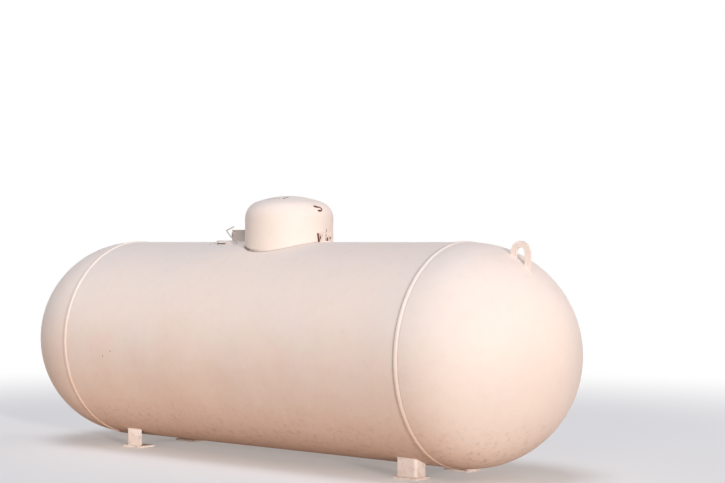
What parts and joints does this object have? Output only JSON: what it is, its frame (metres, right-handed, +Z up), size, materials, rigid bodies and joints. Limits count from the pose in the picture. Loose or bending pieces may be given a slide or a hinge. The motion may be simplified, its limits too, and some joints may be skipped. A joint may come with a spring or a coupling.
{
  "type": "horizontal pressure tank",
  "caption": "Horizontal steel pressure tank with domed heads on short legs, a lifting lug and a hinged hood over its valves and gauge.",
  "frame": {"origin": "on the ground under the middle of the tank", "axes": "+X along the tank towards the end with the lifting lug, +Z up, and the front of the tank faces -Y"},
  "size_m": [3.0226, 0.9596, 1.2025],
  "materials": {
    "tank_paint": "weathered semi-matte paint over rolled steel",
    "leg_paint": "weathered paint with soil dust",
    "hood_paint": "weathered semi-matte paint with small rust marks",
    "bare_steel": "dull zinc-plated",
    "valve_brass": "dull forged brass",
    "cast_metal": "dull cast",
    "yellow_cap": "faded",
    "black_cap": "faded",
    "dial": "printed dial under a clear lens"
  },
  "bodies": {
    "tank": {"shell": "tank_paint", "left_head": "tank_paint", "right_head": "tank_paint", "left_girth_weld": "tank_paint", "right_girth_weld": "tank_paint", "long_seam_weld": "tank_paint", "leg_front_left": "leg_paint", "leg_front_right": "leg_paint", "leg_rear_left": "leg_paint", "leg_rear_right": "leg_paint", "foot_front_left": "leg_paint", "foot_front_right": "leg_paint", "foot_rear_left": "leg_paint", "foot_rear_right": "leg_paint", "lifting_lug": "tank_paint", "plate_bracket": "tank_paint", "hinge_bracket": "hood_paint", "hinge_pin": "hood_paint", "latch_bracket": "hood_paint", "couplings": "tank_paint", "fill_valve": "valve_brass", "fill_valve_cap": "yellow_cap", "relief_valve": "valve_brass", "relief_rain_cap": "black_cap", "service_valve": "valve_brass", "service_handwheel": "cast_metal", "vapour_valve": "valve_brass", "vapour_valve_cap": "yellow_cap", "liquid_valve": "valve_brass", "liquid_valve_cap": "valve_brass", "gauge_body": "cast_metal", "gauge_dial": "dial", "gauge_screws": "bare_steel"},
    "hood": {"hood": "hood_paint", "hood_hinge_arm": "hood_paint", "hood_latch_tab": "hood_paint"}
  },
  "joints": [
    {"name": "hood_hinge", "type": "hinge", "parent": "tank", "child": "hood", "pos_m": [-0.3232, 0, 1.0315], "axis": [0, -1, 0], "range_deg": [0, 140]}
  ]
}
